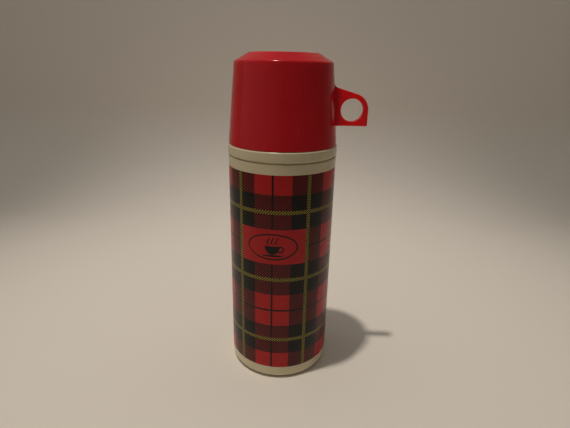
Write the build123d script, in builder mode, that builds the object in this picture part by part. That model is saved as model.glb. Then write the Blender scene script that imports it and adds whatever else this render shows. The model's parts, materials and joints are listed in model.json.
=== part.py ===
from build123d import *

import math
import os

# Vacuum flask with a screw-on cup, a screw-in stopper and a silvered double-walled glass filler.
#
# Millimetres. +Z is up, the origin is on the flask's axis at the face it stands on, the cup's
# handle points along +X, and the front of the printed sleeve faces -Y. All screw threads are
# right-handed: each is one coarse ridge on the outer piece that runs above or below the ridge
# on the inner piece, so a pair stays in step along the whole screw motion.

# ---- Driving dimensions -----------------------------------------------------------------

# Heights above the base
sleeve_bottom = 9.4
sleeve_top = 146.3
jacket_top = 152.7
flange_top = 153.4
cup_rim = 159.8
lip_top = 175.2
cup_shoulder = 209.0
flask_height = 214.0

# Jacket and printed sleeve
body_radius = 35.0
sleeve_thickness = 0.4
sleeve_gap = 0.02
seam_width = 0.4
jacket_bore = 32.4
jacket_floor = 3.8
foot_edge = 4.5
foot_ring_inner = 27.0
foot_recess = 1.6
jacket_rim_round = 0.5

# Cup and its handle
cup_rim_radius = 34.8
cup_shoulder_radius = 30.5
cup_top_radius = 21.8
cup_wall = 2.2
cup_land_radius = 31.9
cup_land_top = 171.0
cup_land_step = 0.6
cup_shoulder_round = 1.2
cup_top_round = 0.8
cup_rim_round = 0.5
cup_inner_round = 2.0
cup_inner_drop = 0.8
handle_thickness = 3.6
handle_bottom = 171.3
handle_end = 53.7
handle_hole_x = 43.5
handle_hole_z = 181.1
handle_hole_radius = 7.1
handle_slope = 16.4
handle_root_x = 30.0
handle_root_fillet = 3.5
handle_root_margin = 1.0

# Collar
skirt_radius = 31.0
skirt_bottom = 141.5
flange_radius = 34.1
collar_land_radius = 31.4
neck_radius = 30.3
collar_wall = 2.2
collar_land_chamfer = 0.5
neck_round = 2.4
pour_bore = 17.2
pour_tube_bottom = 160.5
pour_lip_radius = 19.6
pour_lip_height = 0.6
pour_lip_slope = 1.6
pour_lip_round = 0.5
neck_drop = 1.4

# Loose rings
seat_ring_clearance = 0.3
seat_ring_top = 159.7
seat_ring_radius = 35.3
seat_ring_belly_z = 156.0
seat_ring_taper = 0.1
seat_ring_round = 0.9
gasket_thickness = 1.4
gasket_round = 0.3
ring_float = 0.05

# Stopper
plug_bottom = 151.0
plug_radius = 14.2
plug_step = 161.5
plug_cone = 1.7
plug_draft = 0.6
plug_round = 1.2
stopper_core = 15.9
stopper_flange_radius = 18.9
stopper_flange_thickness = 1.6
stopper_wall = 1.8
stopper_cap_radius = 19.4
stopper_cap_height = 6.9
stopper_cap_round = 1.4
spigot_depth = 4.0
spigot_wall = 1.4
grip_count = 20
grip_radius = 1.7

# Screw ridges: (root radius, crest radius, height of the ridge's start, lead, turns), where the
# ridge on the outer piece starts one step off the ridge on the inner piece
ridge_root_width = 1.8
ridge_crest_width = 0.9
ridge_bite = 0.3
ridge_step = 1.6
cup_lead = 8.0
collar_lead = 4.0
stopper_lead = 5.0
cup_thread_z = 162.6
collar_thread_z = 144.0
stopper_thread_z = 163.8
neck_ridge = (neck_radius, 31.5, cup_thread_z, cup_lead, 1.0)
cup_ridge = (cup_land_radius, 30.7, cup_thread_z - ridge_step, cup_lead, 1.0)
skirt_ridge = (skirt_radius, 32.0, collar_thread_z, collar_lead, 1.2)
jacket_ridge = (jacket_bore, 31.4, collar_thread_z + ridge_step, collar_lead, 1.2)
plug_ridge = (stopper_core, 16.8, stopper_thread_z, stopper_lead, 1.1)
bore_ridge = (pour_bore, 16.3, stopper_thread_z + ridge_step, stopper_lead, 1.1)

# Glass filler: the inner flask's inner face, then the gap and the outer flask
glass_wall = 1.2
vacuum_gap = 3.0
inner_radius = 25.0
inner_neck_radius = 15.0
inner_floor = 17.4
inner_shoulder_z = 132.0
inner_neck_z = 145.0
inner_floor_fillet = 9.0
inner_shoulder_fillet = 18.0
inner_neck_fillet = 14.0
neck_gap = 1.8
glass_mouth_z = 155.9
seal_tip_length = 4.0
seal_tip_radius = 1.8
seal_tip_taper = 12.0
seal_tip_round = 0.6

# Pieces that hold the glass
pad_count = 3
pad_angle = 10.0
pad_first_angle = 30.0
full_turn = 360.0
pad_height = 5.0
pad_z = 70.0
packing_gap = 0.1
side_cushion_z = 112.0
side_cushion_height = 10.0
base_cushion_radius = 25.0
base_cushion_hole = 5.0
base_cushion_top = 14.0
seal_bore = 15.6
seal_outer = 20.6
seal_skirt_bottom = 155.2
seal_clearance = 0.3

same = 0.01  # two lengths closer than this are one
shoulder_turn = math.atan2(inner_radius - inner_neck_radius, inner_neck_z - inner_shoulder_z)


# ---- Helpers ------------------------------------------------------------------------------


def thread_ridge(root_radius, crest_radius, start_z, lead, turns):
    """One helical ridge of trapezoid section, rooted a little inside the wall it stands on."""
    buried = root_radius - math.copysign(ridge_bite, crest_radius - root_radius)
    with BuildPart() as ridge:
        with BuildLine():
            path = Helix(lead, lead * turns, root_radius, center=(0, 0, start_z))
        with BuildSketch(Plane.XZ):
            with BuildLine():
                Polyline(
                    (buried, start_z - ridge_root_width / 2),
                    (crest_radius, start_z - ridge_crest_width / 2),
                    (crest_radius, start_z + ridge_crest_width / 2),
                    (buried, start_z + ridge_root_width / 2),
                    close=True,
                )
            make_face()
        sweep(path=path, is_frenet=True)
    return ridge.part


def bottle(grow, neck_grow, top):
    """The space inside the inner flask, grown outwards: its walls are differences of these."""
    rise = grow * math.tan(shoulder_turn / 2)
    radius = inner_radius + grow
    neck = inner_neck_radius + neck_grow
    floor = inner_floor - grow
    fillets = [inner_floor_fillet + grow, inner_shoulder_fillet + grow, inner_neck_fillet - grow]
    with BuildPart() as space:
        with BuildSketch(Plane.XZ):
            with BuildLine():
                FilletPolyline(
                    (0, floor),
                    (radius, floor),
                    (radius, inner_shoulder_z + rise),
                    (neck, inner_neck_z + rise),
                    (neck, top),
                    radius=fillets,
                )
                Polyline((neck, top), (0, top), (0, floor))
            make_face()
        revolve(axis=Axis.Z)
    return space.part


def ring(inner, outer, bottom, top):
    """A plain square-edged ring about the flask's axis."""
    with BuildPart() as band:
        with BuildSketch(Plane.XY.offset(bottom)):
            Circle(outer)
            Circle(inner, mode=Mode.SUBTRACT)
        extrude(amount=top - bottom)
    return band.part


def rings_of(piece, radius):
    """The piece's circular edges of one radius, from the lowest up."""
    circles = piece.edges().filter_by(GeomType.CIRCLE)
    return circles.filter_by(lambda edge: abs(edge.radius - radius) < same).sort_by(Axis.Z)


os.makedirs("parts", exist_ok=True)

# ---- Jacket: the moulded casing, with a shallow recess for the sleeve ----------------------

recess_radius = body_radius - sleeve_thickness

with BuildPart() as jacket:
    with BuildSketch(Plane.XZ):
        with BuildLine():
            Polyline(
                (0, foot_recess),
                (foot_ring_inner - foot_recess, foot_recess),
                (foot_ring_inner, 0),
                (body_radius - foot_edge, 0),
            )
            RadiusArc((body_radius - foot_edge, 0), (body_radius, foot_edge), -foot_edge)
            Polyline(
                (body_radius, foot_edge),
                (body_radius, sleeve_bottom),
                (recess_radius, sleeve_bottom),
                (recess_radius, sleeve_top),
                (body_radius, sleeve_top),
                (body_radius, jacket_top),
                (jacket_bore, jacket_top),
                (jacket_bore, jacket_floor),
                (0, jacket_floor),
                (0, foot_recess),
            )
        make_face()
    revolve(axis=Axis.Z)
    rim_edges = jacket.edges().filter_by(GeomType.CIRCLE).group_by(Axis.Z)[-1]
    fillet(rim_edges.sort_by(SortBy.RADIUS)[-1], radius=jacket_rim_round)
    add(thread_ridge(*jacket_ridge))
jacket.part.label = "jacket"
export_step(jacket.part, "parts/jacket.step")

# ---- Printed sleeve: one thin sheet wrapped round the jacket, butted at the back -----------

with BuildPart() as printed_sleeve:
    add(
        ring(
            recess_radius + sleeve_gap,
            body_radius,
            sleeve_bottom + ring_float,
            sleeve_top - ring_float,
        )
    )
    with BuildSketch(Plane.XZ):
        with Locations((0, sleeve_top / 2)):
            Rectangle(seam_width, 2 * sleeve_top)
    extrude(amount=-2 * body_radius, mode=Mode.SUBTRACT)
printed_sleeve.part.label = "printed_sleeve"
export_step(printed_sleeve.part, "parts/printed_sleeve.step")

# ---- Collar: screws into the jacket, carries the cup's thread and the pouring lip ----------

neck_inner = neck_radius - collar_wall
skirt_inner = skirt_radius - collar_wall
tube_outer = pour_bore + collar_wall
lip_shoulder_z = lip_top - pour_lip_height
neck_top = lip_top - neck_drop

with BuildPart() as collar:
    with BuildSketch(Plane.XZ):
        with BuildLine():
            Polyline(
                (skirt_radius, skirt_bottom),
                (skirt_radius, jacket_top + ring_float),
                (flange_radius, jacket_top + ring_float),
                (flange_radius, flange_top),
                (collar_land_radius, flange_top),
                (collar_land_radius, cup_rim - collar_land_chamfer),
                (neck_radius, cup_rim),
                (neck_radius, neck_top),
                (tube_outer + pour_lip_slope, lip_shoulder_z),
                (pour_lip_radius, lip_top),
                (pour_bore, lip_top),
                (pour_bore, pour_tube_bottom),
                (tube_outer, pour_tube_bottom),
                (tube_outer, lip_shoulder_z - collar_wall),
                (neck_inner, neck_top - collar_wall),
                (neck_inner, flange_top),
                (skirt_inner, flange_top - collar_wall),
                (skirt_inner, skirt_bottom),
                close=True,
            )
        make_face()
        neck_corners = vertices().filter_by(lambda point: abs(point.X - neck_radius) < same)
        fillet(neck_corners.sort_by(Axis.Y)[-1], radius=neck_round)
    revolve(axis=Axis.Z)
    lip_edges = collar.edges().filter_by(GeomType.CIRCLE).group_by(Axis.Z)[-1]
    fillet(lip_edges, radius=pour_lip_round)
    add(thread_ridge(*neck_ridge))
    add(thread_ridge(*skirt_ridge))
    add(thread_ridge(*bore_ridge))
collar.part.label = "collar"
export_step(collar.part, "parts/collar.step")

# ---- Seat ring: the bead under the cup's rim, loose on the collar's land --------------------

seat_ring_bore = collar_land_radius + seat_ring_clearance
seat_ring_bottom = flange_top + ring_float

with BuildPart() as seat_ring:
    with BuildSketch(Plane.XZ):
        with BuildLine():
            Polyline(
                (seat_ring_bore, seat_ring_top),
                (seat_ring_bore, seat_ring_bottom),
                (seat_ring_radius - seat_ring_taper / 2, seat_ring_bottom),
                (seat_ring_radius, seat_ring_belly_z),
                (seat_ring_radius - seat_ring_taper, seat_ring_top),
                close=True,
            )
        make_face()
        outer_corners = vertices().filter_by(lambda point: point.X > seat_ring_bore + same)
        fillet(outer_corners, radius=seat_ring_round)
    revolve(axis=Axis.Z)
seat_ring.part.label = "seat_ring"
export_step(seat_ring.part, "parts/seat_ring.step")

# ---- Cup: drinking cup and outer lid, with its handle moulded on ----------------------------

handle_arc_radius = handle_end - handle_hole_x
slope = math.radians(handle_slope)
arc_end = (
    handle_hole_x + handle_arc_radius * math.sin(slope),
    handle_hole_z + handle_arc_radius * math.cos(slope),
)
arc_middle = (
    handle_hole_x + handle_arc_radius * math.sin((slope + math.pi / 2) / 2),
    handle_hole_z + handle_arc_radius * math.cos((slope + math.pi / 2) / 2),
)
handle_root_z = arc_end[1] + (arc_end[0] - handle_root_x) * math.tan(slope)

with BuildPart() as handle:
    with BuildSketch(Plane.XZ):
        with BuildLine():
            Polyline(
                arc_end,
                (handle_root_x, handle_root_z),
                (handle_root_x, handle_bottom),
                (handle_end, handle_bottom),
                (handle_end, handle_hole_z),
            )
            ThreePointArc((handle_end, handle_hole_z), arc_middle, arc_end)
        make_face()
        with Locations((handle_hole_x, handle_hole_z)):
            Circle(handle_hole_radius, mode=Mode.SUBTRACT)
    extrude(amount=handle_thickness / 2, both=True)

inner_top = flask_height - cup_wall
inner_shoulder = cup_shoulder - cup_inner_drop
inner_shoulder_radius = cup_shoulder_radius - cup_wall

with BuildPart() as cup:
    with BuildSketch(Plane.XZ):
        with BuildLine():
            Polyline(
                (0, cup_rim),
                (cup_rim_radius, cup_rim),
                (cup_shoulder_radius, cup_shoulder),
                (cup_top_radius, flask_height),
                (0, flask_height),
                close=True,
            )
        make_face()
    revolve(axis=Axis.Z)
    fillet(rings_of(cup, cup_shoulder_radius), radius=cup_shoulder_round)
    fillet(rings_of(cup, cup_top_radius), radius=cup_top_round)
    add(handle.part)
    root_edges = (
        cup.edges()
        .filter_by_position(Axis.X, cup_shoulder_radius, cup_rim_radius)
        .filter_by_position(Axis.Y, -handle_thickness, handle_thickness)
        .filter_by_position(
            Axis.Z, handle_bottom + handle_root_margin, cup_shoulder - handle_root_margin
        )
    )
    fillet(root_edges, radius=handle_root_fillet)
    with BuildSketch(Plane.XZ):
        with BuildLine():
            Polyline(
                (0, cup_rim),
                (cup_land_radius, cup_rim),
                (cup_land_radius, cup_land_top),
                (cup_land_radius - cup_land_step, cup_land_top + cup_land_step),
                (inner_shoulder_radius, inner_shoulder),
                (cup_top_radius - cup_land_step, inner_top),
                (0, inner_top),
                close=True,
            )
        make_face()
        shoulder_corners = vertices().filter_by(
            lambda point: abs(point.X - inner_shoulder_radius) < same
        )
        fillet(shoulder_corners, radius=cup_inner_round)
    revolve(axis=Axis.Z, mode=Mode.SUBTRACT)
    fillet(rings_of(cup, cup_rim_radius), radius=cup_rim_round)
    add(thread_ridge(*cup_ridge))
cup.part.label = "cup"
export_step(cup.part, "parts/cup.step")

# ---- Stopper: hollow plug, sealing ring, foam filling and ribbed cap ------------------------

gasket_bottom = lip_top + ring_float
flange_bottom = gasket_bottom + gasket_thickness + ring_float
stopper_top = flange_bottom + stopper_flange_thickness
foam_top = stopper_top - spigot_depth - packing_gap
plug_shoulder = plug_step - plug_cone
plug_inner = plug_radius - stopper_wall
core_inner = stopper_core - stopper_wall

with BuildPart() as stopper_gasket:
    add(
        ring(
            stopper_core + seal_clearance,
            stopper_flange_radius,
            gasket_bottom,
            gasket_bottom + gasket_thickness,
        )
    )
    fillet(stopper_gasket.edges().filter_by(GeomType.CIRCLE), radius=gasket_round)
stopper_gasket.part.label = "stopper_gasket"
export_step(stopper_gasket.part, "parts/stopper_gasket.step")

with BuildPart() as stopper_body:
    with BuildSketch(Plane.XZ):
        with BuildLine():
            Polyline(
                (0, plug_bottom),
                (plug_radius - plug_draft, plug_bottom),
                (plug_radius, plug_shoulder),
                (stopper_core, plug_step),
                (stopper_core, flange_bottom),
                (stopper_flange_radius, flange_bottom),
                (stopper_flange_radius, stopper_top),
                (core_inner, stopper_top),
                (core_inner, plug_step),
                (plug_inner, plug_shoulder),
                (plug_inner - plug_draft, plug_bottom + stopper_wall),
                (0, plug_bottom + stopper_wall),
                close=True,
            )
        make_face()
    revolve(axis=Axis.Z)
    bottom_edge = stopper_body.edges().filter_by(GeomType.CIRCLE).group_by(Axis.Z)[0]
    fillet(bottom_edge, radius=plug_round)
    add(thread_ridge(*plug_ridge))
stopper_body.part.label = "stopper_body"
export_step(stopper_body.part, "parts/stopper_body.step")

foam_bottom = plug_bottom + stopper_wall + packing_gap

with BuildPart() as stopper_foam:
    with BuildSketch(Plane.XZ):
        with BuildLine():
            Polyline(
                (0, foam_bottom),
                (plug_inner - plug_draft - packing_gap, foam_bottom),
                (plug_inner - packing_gap, plug_shoulder),
                (core_inner - packing_gap, plug_step + packing_gap),
                (core_inner - packing_gap, foam_top),
                (0, foam_top),
                close=True,
            )
        make_face()
    revolve(axis=Axis.Z)
stopper_foam.part.label = "stopper_foam"
export_step(stopper_foam.part, "parts/stopper_foam.step")

cap_top = stopper_top + stopper_cap_height
spigot_outer = core_inner - ring_float
spigot_inner = spigot_outer - spigot_wall

with BuildPart() as stopper_cap:
    with BuildSketch(Plane.XZ):
        with BuildLine():
            Polyline(
                (0, cap_top),
                (0, cap_top - stopper_wall),
                (spigot_inner, cap_top - stopper_wall),
                (spigot_inner, stopper_top - spigot_depth),
                (spigot_outer, stopper_top - spigot_depth),
                (spigot_outer, stopper_top),
                (stopper_cap_radius, stopper_top),
                (stopper_cap_radius, cap_top),
                close=True,
            )
        make_face()
    revolve(axis=Axis.Z)
    top_edge = stopper_cap.edges().filter_by(GeomType.CIRCLE).group_by(Axis.Z)[-1]
    fillet(top_edge, radius=stopper_cap_round)
    with BuildSketch(Plane.XY.offset(stopper_top)):
        with PolarLocations(stopper_cap_radius + grip_radius / 2, grip_count):
            Circle(grip_radius)
    extrude(amount=stopper_cap_height, mode=Mode.SUBTRACT)
stopper_cap.part.label = "stopper_cap"
export_step(stopper_cap.part, "parts/stopper_cap.step")

# ---- Glass filler: two flasks joined at the mouth, three pads between them ------------------

outer_grow = glass_wall + vacuum_gap
outer_neck_grow = glass_wall + neck_gap
lip_centre = inner_neck_radius + glass_wall + neck_gap / 2
lip_radius = glass_wall + neck_gap / 2
outer_floor = inner_floor - outer_grow - glass_wall

with BuildPart() as glass_inner:
    add(bottle(glass_wall, glass_wall, glass_mouth_z))
    add(bottle(0, 0, glass_mouth_z), mode=Mode.SUBTRACT)
    with BuildSketch(Plane.XZ):
        with Locations((lip_centre, glass_mouth_z)):
            Circle(lip_radius)
            Circle(neck_gap / 2, mode=Mode.SUBTRACT)
        with Locations((lip_centre, glass_mouth_z - lip_radius)):
            Rectangle(2 * lip_radius, 2 * lip_radius, mode=Mode.SUBTRACT)
    revolve(axis=Axis.Z)
glass_inner.part.label = "glass_inner"
export_step(glass_inner.part, "parts/glass_inner.step")

with BuildPart() as glass_outer:
    add(bottle(outer_grow + glass_wall, outer_neck_grow + glass_wall, glass_mouth_z))
    add(bottle(outer_grow, outer_neck_grow, glass_mouth_z), mode=Mode.SUBTRACT)
    with BuildSketch(Plane.XY.offset(outer_floor + glass_wall / 2)):
        Circle(seal_tip_radius)
    extrude(amount=-seal_tip_length - glass_wall / 2, taper=seal_tip_taper)
    tip_edge = glass_outer.edges().filter_by(GeomType.CIRCLE).group_by(Axis.Z)[0]
    fillet(tip_edge, radius=seal_tip_round)
glass_outer.part.label = "glass_outer"
export_step(glass_outer.part, "parts/glass_outer.step")

with BuildPart() as spacer_pads:
    with BuildSketch(Plane.XZ) as pad_section:
        with BuildLine():
            Polyline(
                (inner_radius + glass_wall + packing_gap, pad_z),
                (inner_radius + outer_grow - packing_gap, pad_z),
                (inner_radius + outer_grow - packing_gap, pad_z + pad_height),
                (inner_radius + glass_wall + packing_gap, pad_z + pad_height),
                close=True,
            )
        make_face()
    for pad in range(pad_count):
        turned = pad_section.sketch.rotate(Axis.Z, pad_first_angle + pad * full_turn / pad_count)
        revolve(turned, axis=Axis.Z, revolution_arc=pad_angle)
spacer_pads.part.label = "spacer_pads"
export_step(spacer_pads.part, "parts/spacer_pads.step")

# ---- Cushions and neck seal: they hold the glass in the jacket -------------------------------

glass_outer_radius = inner_radius + outer_grow + glass_wall

with BuildPart() as side_cushion:
    add(
        ring(
            glass_outer_radius + packing_gap,
            jacket_bore - packing_gap,
            side_cushion_z,
            side_cushion_z + side_cushion_height,
        )
    )
side_cushion.part.label = "side_cushion"
export_step(side_cushion.part, "parts/side_cushion.step")

with BuildPart() as base_cushion:
    add(ring(base_cushion_hole, base_cushion_radius, jacket_floor + ring_float, base_cushion_top))
    add(
        bottle(
            outer_grow + glass_wall + packing_gap,
            outer_neck_grow + glass_wall + packing_gap,
            glass_mouth_z,
        ),
        mode=Mode.SUBTRACT,
    )
base_cushion.part.label = "base_cushion"
export_step(base_cushion.part, "parts/base_cushion.step")

glass_neck_radius = inner_neck_radius + outer_neck_grow + glass_wall

seal_seat_z = glass_mouth_z + lip_radius + seal_clearance

with BuildPart() as neck_seal:
    with BuildSketch(Plane.XZ):
        with BuildLine():
            Polyline(
                (seal_bore, seal_seat_z),
                (glass_neck_radius + seal_clearance, seal_seat_z),
                (glass_neck_radius + seal_clearance, seal_skirt_bottom),
                (seal_outer, seal_skirt_bottom),
                (seal_outer, pour_tube_bottom - ring_float),
                (seal_bore, pour_tube_bottom - ring_float),
                close=True,
            )
        make_face()
    revolve(axis=Axis.Z)
neck_seal.part.label = "neck_seal"
export_step(neck_seal.part, "parts/neck_seal.step")
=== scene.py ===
"""Looks of the vacuum flask: materials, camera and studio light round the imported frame.

Metres, +Z up, the flask's axis is the Z axis, the cup's handle points along +X and the front
of the printed sleeve faces -Y.
"""

import json
import math

import bpy
from mathutils import Matrix, Vector

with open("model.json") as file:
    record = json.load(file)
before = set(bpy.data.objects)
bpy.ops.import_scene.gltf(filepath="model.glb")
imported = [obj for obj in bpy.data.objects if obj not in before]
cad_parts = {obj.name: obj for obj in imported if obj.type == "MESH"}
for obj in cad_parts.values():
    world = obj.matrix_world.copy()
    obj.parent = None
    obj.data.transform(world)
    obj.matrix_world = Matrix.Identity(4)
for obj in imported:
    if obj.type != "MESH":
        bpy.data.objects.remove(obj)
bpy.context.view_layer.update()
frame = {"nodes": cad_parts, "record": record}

MM = 0.001

# ---- The sleeve's plaid, in millimetres round the sleeve and up it ---------------------------

SLEEVE_RADIUS = 35.0
PLAID_REPEAT = 45.45
BAND_HALF = 11.05
YELLOW_HALF = 1.2
LINE_HALF = 0.6
LINE_ROUND = -5.35
LINE_HEIGHT = 100.4
LINES_FROM = 12.0
LINES_TO = 143.0
TWILL_PITCH = 1.74
# The inked shares of the twill's pitch
BLACK_DUTY = 0.80
YELLOW_DUTY = 0.38

# The handle starts just outside the cup's wall, this far along X in millimetres; between the two
# values the cup's red turns into the handle's painted light, a brighter red standing in for light
# shining through the thin plate
HANDLE_FROM = 33.0
HANDLE_FULL = 37.0

# ---- The badge on the plain panel: half sizes and places from its middle, in millimetres ------

OVAL_HALF = (16.5, 8.9)
OVAL_LINE = 1.0
BOWL_RIM = 0.6
BOWL_HALF = (4.8, 5.7)
SAUCER = (0.0, -5.9, 7.0, 0.7)
BOWL_EAR = (5.0, -1.4, 2.7, 2.3, 0.9)
STEAM_RUN = (1.9, 6.4)
STEAM_APART = 2.6
STEAM_HALF = 0.45
STEAM_SWAY = 0.55
# In radians per millimetre
STEAM_WAVES = 1.4

# ---- The stage: lengths in metres, powers in watts -------------------------------------------

FLOOR_REACH = 2.5
WALL_Y = 0.42
WALL_HEIGHT = 0.75
SWEEP_RADIUS = 0.15
SWEEP_STEPS = 24
LAMP_DIRECTION = (-0.167, -0.088, 0.982)
LAMP_DISTANCE = 2.2
LAMP_RADIUS = 0.041
LAMP_CONE = math.radians(29)
LAMP_POWER = 84.0
LAMP_TINT = (1.0, 0.94, 0.86)
WASH_PLACE = (0.0, 0.15, 0.95)
WASH_TARGET = (0.0, WALL_Y, 0.1)
WASH_SIZE = (1.4, 0.15)
WASH_POWER = 0.5
WASH_TINT = (0.92, 0.96, 1.0)
WASH_SPREAD = math.radians(100)
ROOM_TINT = (1.0, 0.90, 0.79)
ROOM_BASE = 0.063
ROOM_ABOVE = 0.10
ROOM_LEFT = 0.225

# ---- The camera: lens and sensor in millimetres, place and clip in metres --------------------

CAMERA_SENSOR = 36.0
CAMERA_LENS = 25.63
CAMERA_CLIP = (0.01, 20.0)
CAMERA_PLACE = (0.00017, -0.26465, 0.20531)
CAMERA_PITCH = math.radians(19.775)
CAMERA_YAW = math.radians(0.519)
CAMERA_ROLL = math.radians(1.166)

# ---- Colours, linear -------------------------------------------------------------------------

CUP_RED = (0.56, 0.011, 0.019)
# Painted reflection: a lighter red laid in faint upright streaks on the cup
STREAK_REFLECTION_RED = (0.75, 0.05, 0.045)
# Painted light: brighter than the cup's red, standing in for light shining through the thin handle
HANDLE_BACKLIT_RED = (0.90, 0.014, 0.021)
PRINT_RED = (0.47, 0.014, 0.015)
PRINT_BLACK = (0.006, 0.005, 0.004)
PRINT_YELLOW = (0.40, 0.33, 0.04)
CREAM = (0.70, 0.622, 0.42)
STOPPER_WHITE = (0.62, 0.58, 0.46)
# Painted shade: the darker colour put in the foam's pits
FOAM_PORE_SHADE = (0.55, 0.53, 0.46)
FOAM_SKIN = (0.80, 0.78, 0.70)
SILVER = (0.82, 0.84, 0.83)
TARNISH = (0.70, 0.70, 0.66)
SEAL_GREY = (0.20, 0.18, 0.15)
PAD_BROWN = (0.30, 0.27, 0.23)
FELT_BROWN = (0.24, 0.21, 0.17)
RUBBER_BLACK = (0.03, 0.03, 0.03)
SWEEP_CREAM = (0.80, 0.74, 0.66)


class Graph:
    """A node tree, with short calls for the maths that the patterns need."""

    def __init__(self, owner, shader):
        owner.use_nodes = True
        self.owner = owner
        self.tree = owner.node_tree
        self.nodes = self.tree.nodes
        self.shader = self.nodes[shader]

    def put(self, socket, value):
        if isinstance(value, bpy.types.NodeSocket):
            self.tree.links.new(value, socket)
        else:
            socket.default_value = value

    def math(self, operation, *values):
        node = self.nodes.new("ShaderNodeMath")
        node.operation = operation
        for socket, value in zip(node.inputs, values):
            self.put(socket, value)
        return node.outputs[0]

    def beyond(self, value, limit):
        return self.math("GREATER_THAN", value, limit)

    def below(self, value, limit):
        return self.math("LESS_THAN", value, limit)

    def both(self, first, second):
        return self.math("MULTIPLY", first, second)

    def either(self, first, second):
        return self.math("MAXIMUM", first, second)

    def mix(self, share, first, second):
        node = self.nodes.new("ShaderNodeMix")
        node.data_type = "RGBA"
        self.put(node.inputs["Factor"], share)
        for name, value in (("A", first), ("B", second)):
            socket = [s for s in node.inputs if s.name == name and s.type == "RGBA"][0]
            if not isinstance(value, bpy.types.NodeSocket) and len(value) == 3:
                value = (*value, 1.0)
            self.put(socket, value)
        return [s for s in node.outputs if s.type == "RGBA"][0]

    def place(self):
        """The point in the row frame, as x, y and z in millimetres."""
        coordinates = self.nodes.new("ShaderNodeTexCoord")
        split = self.nodes.new("ShaderNodeSeparateXYZ")
        self.put(split.inputs[0], coordinates.outputs["Object"])
        return [self.math("MULTIPLY", split.outputs[i], 1000.0) for i in range(3)]

    def object_point(self):
        return self.nodes.new("ShaderNodeTexCoord").outputs["Object"]

    def upright_streaks(self, fineness, length):
        """Noise drawn out along Z: fineness in lines per metre round it, length in metres."""
        node = self.nodes.new("ShaderNodeMapping")
        self.put(node.inputs["Vector"], self.object_point())
        node.inputs["Scale"].default_value = (fineness, fineness, 1.0 / length)
        return self.noise(1.0, detail=3.0, vector=node.outputs["Vector"])

    def noise(self, scale, detail=3.0, roughness=0.5, vector=None):
        """Fractal noise from 0 to 1; scale is features per metre."""
        node = self.nodes.new("ShaderNodeTexNoise")
        self.put(node.inputs["Vector"], vector or self.object_point())
        node.inputs["Scale"].default_value = scale
        node.inputs["Detail"].default_value = detail
        node.inputs["Roughness"].default_value = roughness
        return node.outputs["Fac"]

    def ramp(self, value, low, high, at_low=0.0, at_high=1.0):
        """A linear run from at_low to at_high as value goes from low to high, held at the ends."""
        node = self.nodes.new("ShaderNodeMapRange")
        for socket, number in zip(node.inputs, (value, low, high, at_low, at_high)):
            self.put(socket, number)
        return node.outputs[0]

    def patches(self, value, at_low=0.0, at_high=1.0):
        """Soft patches from a noise: at_low in its low places, at_high in its high ones."""
        return self.ramp(value, 0.3, 0.7, at_low, at_high)

    def bump(self, height, distance):
        node = self.nodes.new("ShaderNodeBump")
        self.put(node.inputs["Height"], height)
        node.inputs["Distance"].default_value = distance
        node.inputs["Strength"].default_value = 1.0
        return node.outputs[0]

    def set(self, **sockets):
        for name, value in sockets.items():
            if isinstance(value, tuple) and len(value) == 3:
                value = (*value, 1.0)
            self.put(self.shader.inputs[name.replace("_", " ")], value)
        return self


def new_material(name):
    return Graph(bpy.data.materials.new(name), "Principled BSDF")


def shaded(colour, share):
    return tuple(channel * share for channel in colour)


def glossy_red():
    """The cup's moulded plastic, brighter in the thin handle as painted light shining through it,
    with faint upright streaks of painted reflection.
    """
    g = new_material("cup_red")
    blotches = g.noise(60.0, detail=4.0)
    scuffs = g.noise(900.0, detail=6.0, roughness=0.7)
    handle = g.ramp(g.place()[0], HANDLE_FROM, HANDLE_FULL)
    # Painted reflection: faint upright streaks of lighter red that stand in for the room's light
    # mirrored in the gloss
    reflection_streaks = g.ramp(g.upright_streaks(500.0, 0.03), 0.60, 0.76, 0.0, 0.22)
    colour = g.mix(g.patches(blotches), CUP_RED, shaded(CUP_RED, 0.93))
    # Painted light: the handle's brighter red stands in for light shining through the thin plate
    colour = g.mix(handle, colour, HANDLE_BACKLIT_RED)
    colour = g.mix(reflection_streaks, colour, STREAK_REFLECTION_RED)
    worn = g.ramp(scuffs, 0.45, 0.8, 0.0, 0.08)
    g.set(Base_Color=colour, Roughness=g.math("ADD", g.patches(blotches, 0.12, 0.16), worn))
    g.set(Normal=g.bump(g.noise(240.0, detail=2.0), 0.03 * MM), Specular_IOR_Level=0.3)
    g.set(Subsurface_Weight=0.5, Subsurface_Scale=6 * MM)
    g.shader.inputs["Subsurface Radius"].default_value = (1.0, 0.2, 0.1)
    return g.owner


def cream_plastic():
    g = new_material("cream_plastic")
    blotches = g.noise(45.0, detail=4.0)
    g.set(Base_Color=g.mix(g.patches(blotches), CREAM, shaded(CREAM, 0.90)))
    g.set(Roughness=g.patches(blotches, 0.20, 0.28))
    g.set(Normal=g.bump(g.noise(2600.0, detail=2.0), 0.01 * MM))
    return g.owner


def stopper_plastic():
    g = new_material("stopper_plastic")
    blotches = g.noise(80.0, detail=4.0)
    g.set(Base_Color=g.mix(g.patches(blotches), STOPPER_WHITE, shaded(STOPPER_WHITE, 0.9)))
    g.set(Roughness=0.42, Normal=g.bump(g.noise(3200.0, detail=2.0), 0.02 * MM))
    return g.owner


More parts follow.
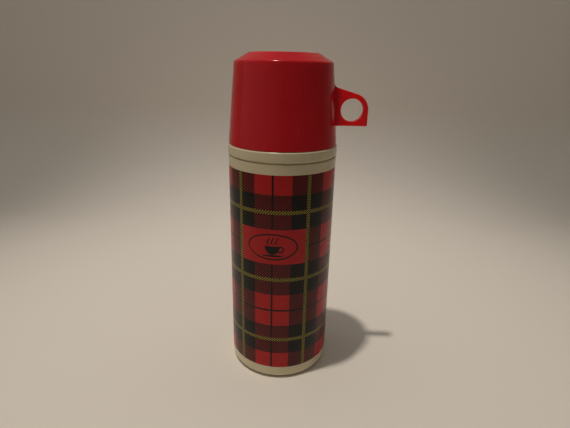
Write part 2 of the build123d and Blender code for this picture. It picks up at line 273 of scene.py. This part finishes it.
def emblem(g, u, v):
    """Where the badge is inked: a plain oval round a steaming cup on its saucer."""

    def inside(middle_u, middle_v, half_width, half_height):
        across = g.math("DIVIDE", g.math("SUBTRACT", u, middle_u), half_width)
        up = g.math("DIVIDE", g.math("SUBTRACT", v, middle_v), half_height)
        return g.below(g.math("ADD", g.math("POWER", across, 2.0), g.math("POWER", up, 2.0)), 1.0)

    def outline(middle_u, middle_v, half_width, half_height, line):
        hollow = inside(middle_u, middle_v, half_width - line, half_height - line)
        return g.math("SUBTRACT", inside(middle_u, middle_v, half_width, half_height), hollow)

    mark = outline(0.0, 0.0, *OVAL_HALF, OVAL_LINE)
    bowl = g.both(inside(0.0, BOWL_RIM, *BOWL_HALF), g.below(v, BOWL_RIM))
    wave = g.math("MULTIPLY", g.math("SINE", g.math("MULTIPLY", v, STEAM_WAVES)), STEAM_SWAY)
    rising = g.both(g.beyond(v, STEAM_RUN[0]), g.below(v, STEAM_RUN[1]))
    shapes = [bowl, inside(*SAUCER), outline(*BOWL_EAR)]
    for side in (-1, 0, 1):
        middle = g.math("ADD", wave, side * STEAM_APART)
        away = g.math("ABSOLUTE", g.math("SUBTRACT", u, middle))
        shapes.append(g.both(rising, g.below(away, STEAM_HALF)))
    for shape in shapes:
        mark = g.either(mark, shape)
    return mark


def plaid_print():
    """The sleeve's red, black and yellow plaid, with its plain panel and the badge on it."""
    g = new_material("plaid_print")
    x, y, z = g.place()
    turn = g.math("ARCTAN2", x, g.math("MULTIPLY", y, -1.0))
    along = g.math("MULTIPLY", turn, SLEEVE_RADIUS)
    half = PLAID_REPEAT / 2

    def from_line(value, centre):
        """Distance from the nearest thin line. The yellow stripes lie half a repeat off."""
        return g.math("PINGPONG", g.math("SUBTRACT", value, centre), half)

    round_way = from_line(along, LINE_ROUND)
    up_way = from_line(z, LINE_HEIGHT)
    upright_band, level_band = (g.beyond(d, half - BAND_HALF) for d in (round_way, up_way))
    upright_yellow, level_yellow = (g.beyond(d, half - YELLOW_HALF) for d in (round_way, up_way))
    upright_line, level_line = (g.below(d, LINE_HALF) for d in (round_way, up_way))
    level_line = g.both(level_line, g.both(g.beyond(z, LINES_FROM), g.below(z, LINES_TO)))
    phase = g.math("FRACT", g.math("DIVIDE", g.math("SUBTRACT", along, z), TWILL_PITCH))

    # Solid black where two bands cross, black threads in a single band, and the thin lines
    crossing = g.both(upright_band, level_band)
    threads = g.both(g.either(upright_band, level_band), g.below(phase, BLACK_DUTY))
    black = g.either(g.either(crossing, threads), g.either(upright_line, level_line))
    stripe = g.either(upright_yellow, level_yellow)
    black = g.either(black, stripe)
    yellow = g.both(stripe, g.below(phase, YELLOW_DUTY))

    # The plain red panel between two upright yellow stripes, one row high, and its badge
    u = g.math("SUBTRACT", along, LINE_ROUND)
    v = g.math("SUBTRACT", z, LINE_HEIGHT)
    in_width = g.below(g.math("ABSOLUTE", u), half - YELLOW_HALF)
    in_height = g.below(g.math("ABSOLUTE", v), half - BAND_HALF)
    plain = g.math("SUBTRACT", 1.0, g.both(in_width, in_height))
    black = g.either(g.both(black, plain), emblem(g, u, v))
    yellow = g.both(yellow, plain)

    ink = g.noise(120.0, detail=5.0)
    colour = g.mix(g.patches(ink), PRINT_RED, shaded(PRINT_RED, 0.88))
    colour = g.mix(black, colour, PRINT_BLACK)
    colour = g.mix(yellow, colour, PRINT_YELLOW)
    g.set(Base_Color=colour, Roughness=g.patches(ink, 0.26, 0.34), Specular_IOR_Level=0.25)
    g.set(Normal=g.bump(g.noise(1500.0), 0.01 * MM))
    return g.owner


def rubber(name, colour, roughness):
    g = new_material(name)
    dust = g.noise(300.0, detail=5.0)
    shade = g.mix(g.ramp(dust, 0.4, 0.75), colour, tuple(min(1.0, c * 1.3 + 0.01) for c in colour))
    g.set(Base_Color=shade, Roughness=roughness, Normal=g.bump(g.noise(2000.0), 0.02 * MM))
    return g.owner


def felt(name, colour):
    g = new_material(name)
    fibres = g.noise(1800.0, detail=6.0, roughness=0.7)
    shade = g.mix(g.patches(fibres), colour, shaded(colour, 0.6))
    g.set(Base_Color=shade, Roughness=0.9, Normal=g.bump(fibres, 0.2 * MM))
    return g.owner


def foam():
    g = new_material("foam")
    cells = g.nodes.new("ShaderNodeTexVoronoi")
    g.put(cells.inputs["Vector"], g.object_point())
    cells.inputs["Scale"].default_value = 900.0
    height = cells.outputs["Distance"]
    # Painted shade: the cells' pits, where the bump sinks, are coloured darker than the foam's skin
    shade = g.mix(g.ramp(height, 0.0, 0.5), FOAM_PORE_SHADE, FOAM_SKIN)
    g.set(Base_Color=shade, Roughness=0.85, Normal=g.bump(height, 0.3 * MM))
    return g.owner


def silvered_glass():
    g = new_material("silvered_glass")
    haze = g.noise(50.0, detail=5.0)
    shade = g.mix(g.ramp(haze, 0.35, 0.7), SILVER, TARNISH)
    g.set(Base_Color=shade, Metallic=1.0, Roughness=g.ramp(haze, 0.35, 0.7, 0.04, 0.12))
    g.set(Coat_Weight=1.0, Coat_Roughness=0.02)
    return g.owner


MATERIALS = {
    "red_cup": glossy_red(),
    "cream_plastic": cream_plastic(),
    "plaid_print": plaid_print(),
    "stopper_plastic": stopper_plastic(),
    "foam": foam(),
    "seal_rubber": rubber("seal_rubber", SEAL_GREY, 0.6),
    "silvered_glass": silvered_glass(),
    "pad_felt": felt("pad_felt", PAD_BROWN),
    "cushion_felt": felt("cushion_felt", FELT_BROWN),
    "cushion_rubber": rubber("cushion_rubber", RUBBER_BLACK, 0.7),
}


def dress_nodes():
    """Gives every CAD node the material of its slot."""
    for part in frame["record"]["subparts"]:
        node = frame["nodes"][part["node"]]
        node.data.materials.clear()
        node.data.materials.append(MATERIALS[part["material_slot"]])


def add_floor():
    """A pale floor that sweeps up behind the flask into a plain wall."""
    mesh = bpy.data.meshes.new("sweep")
    profile = [(-FLOOR_REACH, 0.0)]
    for step in range(SWEEP_STEPS + 1):
        turn = math.pi / 2 * step / SWEEP_STEPS
        back = WALL_Y - SWEEP_RADIUS * (1 - math.sin(turn))
        profile.append((back, SWEEP_RADIUS * (1 - math.cos(turn))))
    profile.append((WALL_Y, WALL_HEIGHT))
    points = [(side * FLOOR_REACH, y, z) for y, z in profile for side in (-1, 1)]
    faces = [(2 * i, 2 * i + 1, 2 * i + 3, 2 * i + 2) for i in range(len(profile) - 1)]
    mesh.from_pydata(points, [], faces)
    mesh.shade_smooth()
    floor = bpy.data.objects.new("sweep", mesh)
    bpy.context.scene.collection.objects.link(floor)
    g = new_material("sweep")
    g.set(Base_Color=SWEEP_CREAM, Roughness=0.6, Specular_IOR_Level=0.2)
    mesh.materials.append(g.owner)


def add_light(name, kind, place, target, power, tint):
    """A light at place, aimed at target."""
    data = bpy.data.lights.new(name, kind)
    data.energy = power
    data.color = tint
    light = bpy.data.objects.new(name, data)
    bpy.context.scene.collection.objects.link(light)
    light.location = place
    light.rotation_euler = (place - target).to_track_quat("Z", "Y").to_euler()
    return light


def add_room():
    """A dim room, a little lighter above and on the left."""
    world = bpy.data.worlds.new("room")
    bpy.context.scene.world = world
    g = Graph(world, "Background")
    split = g.nodes.new("ShaderNodeSeparateXYZ")
    g.put(split.inputs[0], g.nodes.new("ShaderNodeTexCoord").outputs["Generated"])
    leftward = g.math("MULTIPLY", split.outputs[0], -1.0)
    above = g.math("MULTIPLY", g.math("MAXIMUM", split.outputs[2], 0.0), ROOM_ABOVE)
    left = g.math("MULTIPLY", g.math("MAXIMUM", leftward, 0.0), ROOM_LEFT)
    g.set(Color=ROOM_TINT, Strength=g.math("ADD", g.math("ADD", above, left), ROOM_BASE))


def add_lights():
    """A small lamp high above, and a wash down the wall that doesn't show in reflections."""
    place = Vector(LAMP_DIRECTION).normalized() * LAMP_DISTANCE
    lamp = add_light("lamp", "SPOT", place, Vector(), LAMP_POWER, LAMP_TINT)
    lamp.data.shadow_soft_size = LAMP_RADIUS
    lamp.data.spot_size = LAMP_CONE
    lamp.data.spot_blend = 1.0
    wash = add_light("wash", "AREA", Vector(WASH_PLACE), Vector(WASH_TARGET), WASH_POWER, WASH_TINT)
    wash.data.shape = "RECTANGLE"
    wash.data.size, wash.data.size_y = WASH_SIZE
    wash.data.spread = WASH_SPREAD
    wash.visible_glossy = False


def add_camera():
    """At the height of the cup's top, looking down on the front, a little right of the axis."""
    data = bpy.data.cameras.new("camera")
    data.sensor_width = CAMERA_SENSOR
    data.lens = CAMERA_LENS
    data.clip_start, data.clip_end = CAMERA_CLIP
    camera = bpy.data.objects.new("camera", data)
    bpy.context.scene.collection.objects.link(camera)
    camera.location = CAMERA_PLACE
    aim = Matrix.Rotation(-CAMERA_YAW, 3, "Z") @ Matrix.Rotation(math.pi / 2 - CAMERA_PITCH, 3, "X")
    camera.rotation_euler = (aim @ Matrix.Rotation(CAMERA_ROLL, 3, "Z")).to_euler()
    bpy.context.scene.camera = camera


bpy.context.scene.view_settings.view_transform = "Standard"
# The twill is only a few pixels wide: the denoiser keeps it if the albedo isn't smoothed first
bpy.context.scene.cycles.denoising_prefilter = "NONE"
dress_nodes()
add_floor()
add_room()
add_lights()
add_camera()
